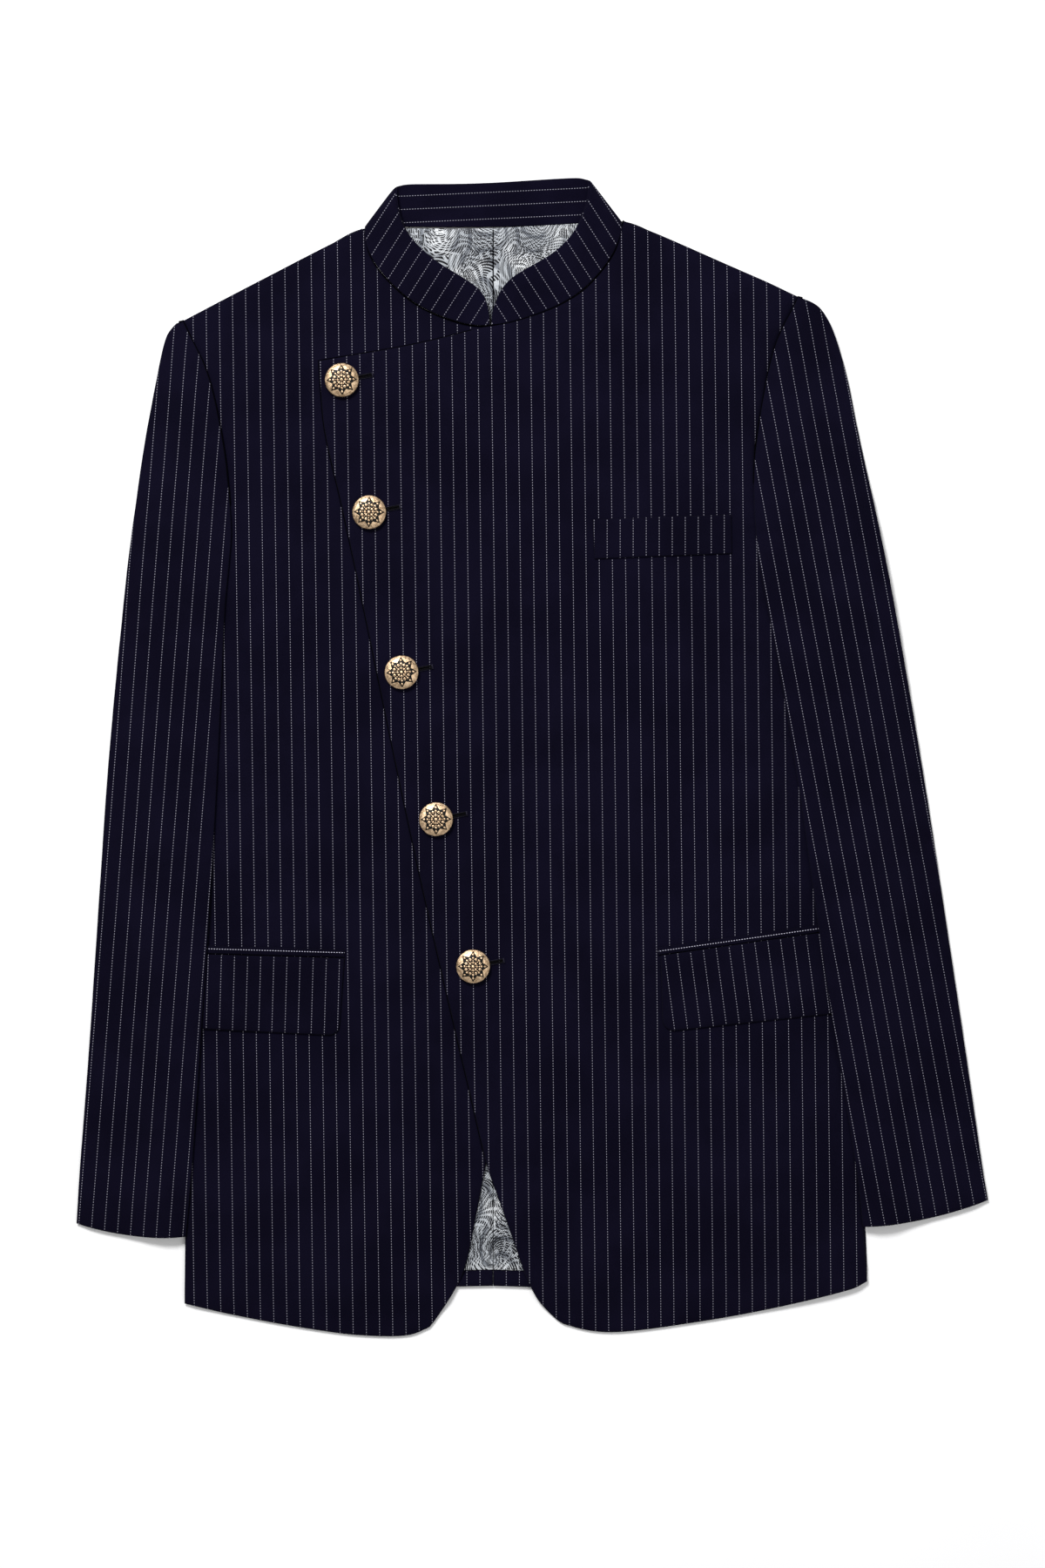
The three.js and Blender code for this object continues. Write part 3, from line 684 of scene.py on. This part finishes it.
PANELS = [
    # name, node, map, material, slot, grid, edge, relief, thickness, rests on
    ("cloth_back_left", "back_left", BACK_MAP, WOOL, "wool", 3.5, 3, None, None, []),
    ("cloth_back_right", "back_right", BACK_MAP, WOOL, "wool", 3.5, 3, None, None, []),
    ("satin_left", "lining_left", LINING_MAP, SATIN, "lining", 8, 5, None, None, ["cloth_back_left"]),
    ("satin_right", "lining_right", LINING_MAP, SATIN, "lining", 8, 5, None, None, ["cloth_back_right"]),
    ("cloth_front_right", "front_right", stripes(-182.84, -9.3, 9.387, 0.0145), WOOL, "wool", 4.5, 3,
     front_right_form, 2.2, ["satin_right", "satin_left"]),
    ("cloth_front_left", "front_left", stripes(0.62, -9.3, STRIPE_MM, 0.0131, 0.0000065), WOOL, "wool", 4.2, 3,
     front_left_form, 2.2, ["cloth_front_right", "satin_left"]),
    ("cloth_sleeve_under_left", "sleeve_under_left", SLEEVE_MAP_LEFT, WOOL, "wool", 7, 4,
     None, 1.5, ["cloth_front_left"]),
    ("cloth_sleeve_under_right", "sleeve_under_right", SLEEVE_MAP_RIGHT, WOOL, "wool", 7, 4,
     None, 1.5, ["cloth_front_right"]),
    ("cloth_sleeve_left", "sleeve_top_left", SLEEVE_MAP_LEFT, WOOL, "wool", 3.5, 3,
     sleeve_form("left"), 1.5, ["cloth_sleeve_under_left"]),
    ("cloth_sleeve_right", "sleeve_top_right", SLEEVE_MAP_RIGHT, WOOL, "wool", 3.5, 3,
     sleeve_form("right"), 1.5, ["cloth_sleeve_under_right"]),
    ("welt_cloth", "welt_chest", stripes(73.7, -150, 9.24), WOOL_TRIM, "wool", 2, 1.5,
     plain_form, 1.6, ["cloth_front_left"]),
    ("jet_cloth_left", "jet_left", slanted(81.92, 9.3, -0.10), WOOL_JET, "wool", 2, 1.5,
     None, 1.2, ["cloth_front_left"]),
    ("jet_cloth_right", "jet_right", slanted(91.66, 9.3, -0.18), WOOL_JET, "wool", 2, 1.5,
     None, 1.2, ["cloth_front_right"]),
    ("flap_cloth_left", "flap_left", stripes(128.3, -480.5, 9.3, 0.133), WOOL_TRIM, "wool", 2, 1.5,
     plain_form, 1.8, ["cloth_front_left"]),
    ("flap_cloth_right", "flap_right", stripes(-201.1, -480.5, 9.32, -0.0285), WOOL_TRIM, "wool", 2, 1.5,
     plain_form, 1.8, ["cloth_front_right"]),
]
SMOOTHING = 6  # rounds of it for every panel but the back's two

for name, node, mapping, material, slot, grid, edge, relief, thick, rests in PANELS:
    obj, size, area = shell(name, node, mapping, material, grid * MM, edge * MM, relief, thick,
                            0 if "back" in name else SMOOTHING)
    adopt(obj, node)
    if name in JETS:
        JETS[name] = obj


# ---------------------------------------------------------------- sewn seams, with dark cords of painted shade
def walls(rings, sides):
    """The quads between successive rings of sides points."""
    return [(k * sides + i, k * sides + (i + 1) % sides, (k + 1) * sides + (i + 1) % sides, (k + 1) * sides + i)
            for k in range(rings - 1) for i in range(sides)]


def capped(rings, sides):
    """The walls and both end faces."""
    last = (rings - 1) * sides
    return walls(rings, sides) + [tuple(range(sides - 1, -1, -1)), tuple(range(last, last + sides))]


def tube(centres, radius, sides=8):
    """Vertices and faces of a closed tube along a line of points."""
    vertices = []
    for k, c in enumerate(centres):
        ahead = Vector(centres[min(k + 1, len(centres) - 1)]) - Vector(centres[max(k - 1, 0)])
        across = ahead.cross(Vector((0, 0, 1))).normalized()
        rise = across.cross(ahead).normalized()
        for i in range(sides):
            a = 2 * math.pi * i / sides
            vertices.append(Vector(c) + across * (radius * math.cos(a)) + rise * (radius * math.sin(a)))
    return vertices, capped(len(centres), sides)


def thread(name, centres, radius):
    """A dark thread or cord along a line of points, for seams and for painted shade lines."""
    obj = build(name, *tube(centres, radius), SEAM_AND_SHADE_CORD)
    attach(obj, "root")


def longest_run(flags):
    """The longest run of true flags round a closed outline, as indices in order."""
    start = int(np.flatnonzero(~flags)[0])
    runs, run = [], []
    for i in [(start + k) % len(flags) for k in range(len(flags))] + [start]:
        if flags[i]:
            run.append(i)
        elif run:
            runs.append(run)
            run = []
    return max(runs, key=len)


CORD_RADIUS = 0.5 * MM
CORD_OUT = 0.15  # out from the panel's edge, in mm


def cord(name, node, outline, run, below):
    """A dark cord of painted shade along a run of a panel's outline, just out from its edge and below mm under its
    top.
    """
    inner = inward(outline)
    line = outline[run] - inner[run] * CORD_OUT * MM
    tops = surface_heights(node_bvh(node), outline[run] + inner[run] * MM)
    thread(name, [(x, y, z - below * MM) for (x, y), z in zip(line, tops)], CORD_RADIUS)


def seam(name, node, other, below, reach=1.6 * MM):
    """The sewn edge of a panel where it meets another one: a dark cord in the gap, partly the roll of the two seam
    allowances and partly painted shade along the seam.
    """
    outline = smooth_outline(outline_of(node), SEAM_STEP)
    near = distance_to(outline, smooth_outline(outline_of(other), SEAM_STEP)) < reach
    cord(name, node, outline, longest_run(near), below)


def lapped_edge(name, node, other, below):
    """Painted shade: a dark cord in the fold at the foot of an edge that lies on another panel, for the shade line
    there.
    """
    outline = smooth_outline(outline_of(node), SEAM_STEP)
    under = smooth_outline(outline_of(other), SEAM_STEP)
    on = inside(outline, under) & (distance_to(outline, under) > CLOSED_REACH)
    cord(name, node, outline, longest_run(on), below)


# Dark cords in the seams at the neck and the armholes: partly the seams, partly painted shade along them.
seam("seam_shade_neck_left", "front_left", "collar", 1.1)
seam("seam_shade_neck_right", "front_right", "collar", 1.1)
seam("seam_shade_armhole_left", "sleeve_top_left", "front_left", 1.25, 2.6 * MM)
seam("seam_shade_armhole_right", "sleeve_top_right", "front_right", 1.25, 2.6 * MM)
# The lapped front edge gets a dark cord of painted shade at its foot.
lapped_edge("shade_line_closure", "front_left", "front_right", 1.7)

# The centre-back seam of the lining, where it shows inside the neck.
LINING_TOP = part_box("lining_left")[1][2]
SEAM_X = PIT.x + 2.0 * MM
SEAM_LINE = [(SEAM_X, PIT.y + y * MM, LINING_TOP + 0.05 * MM) for y in range(68, -4, -4)]
thread("seam_lining", SEAM_LINE, 0.38 * MM)


# ---------------------------------------------------------------- the collar
CREASE = 0.75
CREASE_FROM = math.radians(50)


def band(name, node, mapping):
    """A subdivided copy of a collar node, its rims creased so that they stay as drafted."""
    bm = bmesh.new()
    bm.from_mesh(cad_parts[node].data)
    bmesh.ops.remove_doubles(bm, verts=bm.verts, dist=1e-5)
    bmesh.ops.join_triangles(bm, faces=bm.faces, angle_face_threshold=math.radians(25),
                             angle_shape_threshold=math.radians(60), cmp_seam=False, cmp_sharp=False,
                             cmp_uvs=False, cmp_vcols=False, cmp_materials=False)
    crease = bm.edges.layers.float.new("crease_edge")
    for e in bm.edges:
        if len(e.link_faces) == 2 and e.calc_face_angle(0) > CREASE_FROM:
            e[crease] = CREASE
    mesh = bpy.data.meshes.new(name + "_cage")
    bm.to_mesh(mesh)
    bm.free()
    cage = bpy.data.objects.new(name + "_cage", mesh)
    bpy.context.collection.objects.link(cage)
    modifier = cage.modifiers.new("smooth", "SUBSURF")
    modifier.levels = modifier.render_levels = 3
    bpy.context.view_layer.update()
    done = cage.evaluated_get(bpy.context.evaluated_depsgraph_get()).to_mesh()
    vertices = np.array([tuple(v.co) for v in done.vertices])
    faces = [tuple(f.vertices) for f in done.polygons]
    bpy.data.objects.remove(cage)
    obj = build(name, vertices, faces, WOOL, mapping(drafted(vertices)))
    adopt(obj, node)


band("collar_cloth", "collar", collar_map)
band("collar_band", "collar_facing", band_map)


# ---------------------------------------------------------------- buttons and buttonholes
def joined(name, parts):
    """One object out of (vertices, faces, material) parts."""
    vertices, faces, kinds, materials = [], [], [], []
    for part_vertices, part_faces, material in parts:
        if material not in materials:
            materials.append(material)
        start = len(vertices)
        vertices.extend(part_vertices)
        faces.extend(tuple(start + i for i in f) for f in part_faces)
        kinds.extend([materials.index(material)] * len(part_faces))
    mesh = bpy.data.meshes.new(name)
    mesh.from_pydata([tuple(v) for v in vertices], [], faces)
    mesh.shade_smooth()
    for material in materials:
        mesh.materials.append(material)
    mesh.polygons.foreach_set("material_index", kinds)
    obj = bpy.data.objects.new(name, mesh)
    bpy.context.collection.objects.link(obj)
    return obj


DOME_MM = 3.9
DOME_EDGE = 12.4  # the radius at which the dome would come down to the brim


def dome(r):
    """Height of the button's face over its brim at radius r, in mm."""
    return DOME_MM * math.sqrt(max(0.0, 1 - (r / DOME_EDGE) ** 2))


def lathe(profile, sides=72):
    """A closed turned body, from the (radius, height) points of its profile."""
    vertices = [(r * math.cos(2 * math.pi * i / sides), r * math.sin(2 * math.pi * i / sides), z)
                for r, z in profile for i in range(sides)]
    return vertices, capped(len(profile), sides)


def finer(outline, steps):
    """The outline with each side cut into equal steps."""
    after = outline[1:] + outline[:1]
    return [(ax + (bx - ax) * k / steps, ay + (by - ay) * k / steps)
            for (ax, ay), (bx, by) in zip(outline, after) for k in range(steps)]


def raised(outline, height, shares=(0.8,), foot=-0.2):
    """A bevelled island of a plan outline on the dome, in mm. shares are its rings, as parts of its size."""
    centre = np.mean(outline, axis=0)
    n = len(outline)
    rings = [(1.0, foot), (1.0, height * 0.6)] + [(share, height) for share in shares]
    vertices = []
    for share, lift in rings:
        for p in outline:
            x, y = centre + (np.array(p) - centre) * share
            vertices.append((x, y, dome(math.hypot(x, y)) + lift))
    faces = [tuple(range(n - 1, -1, -1))] + walls(len(rings), n)
    last = (len(rings) - 1) * n
    vertices.append((centre[0], centre[1], dome(math.hypot(*centre)) + height * 1.1))
    faces.extend((last + i, last + (i + 1) % n, len(vertices) - 1) for i in range(n))
    return vertices, faces


def polar(r, degrees):
    return (r * math.cos(math.radians(degrees)), r * math.sin(math.radians(degrees)))


BEAD_SIDES = 10


def bead(r, degrees, size, height):
    x, y = polar(r, degrees)
    angles = [2 * math.pi * i / BEAD_SIDES for i in range(BEAD_SIDES)]
    return raised([(x + size * math.cos(a), y + size * math.sin(a)) for a in angles], height, (0.6,))


KITE_MM = 0.42  # its height


def kite(outer, wide, inner, degrees, spread):
    return raised([polar(outer, degrees), polar(wide, degrees + spread), polar(inner, degrees),
                   polar(wide, degrees - spread)], KITE_MM, (0.72,))


def button_parts(turn):
    """A cast gold face with an eight-pointed star of kites round a dotted flower, set off in black."""
    rim = [(3.0, -2.0), (10.6, -2.0), (11.6, -1.6), (12.0, -0.9), (12.05, 0.2), (12.0, 0.75), (11.8, 1.1),
           (11.4, 1.4), (10.9, 1.65)]
    face = [(r, dome(r) - 0.05) for r in (10.4, 9.6, 8.6, 7.4, 6.0, 4.5, 3.0, 1.5, 0.4)]
    parts = [(*lathe(rim + face), GOLD)]
    star = [polar(10.9 if i % 2 == 0 else 7.3, turn + 22.5 * i) for i in range(16)]
    parts.append((*raised(finer(star, 3), 0.08, (0.9, 0.75, 0.6, 0.45, 0.3, 0.15)), BLACK_FILL))
    for i in range(8):
        a = turn + 45 * i
        b = a + 22.5
        parts.append((*kite(9.7, 8.4, 7.5, a, 6.0), GOLD))
        parts.append((*kite(7.0, 6.2, 5.1, a, 9.0), GOLD))
        parts.append((*kite(6.8, 5.4, 4.1, b, 13.0), GOLD))
        parts.append((*bead(5.45, b, 0.34, 0.62), BLACK_FILL))
        parts.append((*bead(4.5, a, 0.50, 0.5), GOLD))
        parts.append((*kite(4.0, 2.9, 1.6, a, 15.5), GOLD))
        parts.append((*bead(3.1, b, 0.42, 0.45), GOLD))
    parts.append((*bead(0, 0, 1.2, 0.6), GOLD))
    return parts


HOLE_TURN = math.radians(10.5)
HOLE_START, HOLE_END, HOLE_HALF = -2.6, 21.8, 1.45  # of the worked edge, from the button's axis, in mm
STITCHES = 34
PURL = 0.22  # the radius of the cord round the stitches
PURL_SIDES = 6
BOX = [(3, 2, 1, 0), (4, 5, 6, 7), (0, 1, 5, 4), (1, 2, 6, 5), (2, 3, 7, 6), (3, 0, 4, 7)]


def stitched_hole(number, x, y, z):
    """A worked buttonhole: two rows of silk purl round a dark slit, with a bar at the far end."""
    parts = []
    half = HOLE_HALF
    length = HOLE_END - HOLE_START
    w = length / STITCHES * 0.52
    for sign in (-1, 1):
        for i in range(STITCHES):
            u = HOLE_START + length * (i + 0.5) / STITCHES
            box = [(u + du, sign * dv, dz) for du, dv, dz in (
                (-w, 0.18, -0.5), (w, 0.18, -0.5), (w, half, -0.5), (-w, half, -0.5),
                (-w * 0.8, 0.2, 0.32), (w * 0.8, 0.2, 0.32), (w * 0.6, half * 0.86, 0.46),
                (-w * 0.6, half * 0.86, 0.46))]
            parts.append((box, [tuple(reversed(f)) for f in BOX] if sign < 0 else BOX, SILK))
    for sign in (-1, 1):
        v = sign * (half + 0.08)
        ring = [(PURL * math.cos(t), PURL * math.sin(t)) for t in np.arange(PURL_SIDES) * math.pi / 3]
        vertices = [(u, v + c, 0.14 + s) for u in (HOLE_START, HOLE_END) for c, s in ring]
        parts.append((vertices, capped(2, PURL_SIDES), SILK_RIM))
    near, far, wide = HOLE_END - 0.2, HOLE_END + 0.9, half + 0.3
    bar = [(near, -wide), (far, -wide), (far, wide), (near, wide)]
    parts.append(([(u, v, level) for level in (-0.4, 0.55) for u, v in bar], BOX, SILK_RIM))
    obj = joined(f"buttonhole_{number}", parts)
    turn = Matrix.Rotation(HOLE_TURN, 4, "Z") @ Matrix.Scale(MM, 4)
    obj.data.transform(Matrix.Translation((x, y, z)) @ turn)
    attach(obj, "root")


FRONT_TREE = node_bvh("front_left")
STAR_TURNS = [2, -1, 3, 1, 0]
BESIDE = (0.012, 0.01)  # from a button's axis to plain cloth, clear of its slot
for i, ((x, y, _), star_turn) in enumerate(zip(BUTTON_PLACES, STAR_TURNS), 1):
    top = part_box(f"button_{i}")[1][2]
    obj = joined(f"cast_button_{i}", button_parts(star_turn))
    base = top - (dome(0) + 0.5) * MM
    obj.data.transform(Matrix.Translation((x, y, base)) @ Matrix.Scale(MM, 4))
    adopt(obj, f"button_{i}")
    cloth = FRONT_TREE.ray_cast(Vector((x + BESIDE[0], y + BESIDE[1], FAR)), Vector((0, 0, -1)))[0]
    stitched_hole(i, x, y, cloth.z)
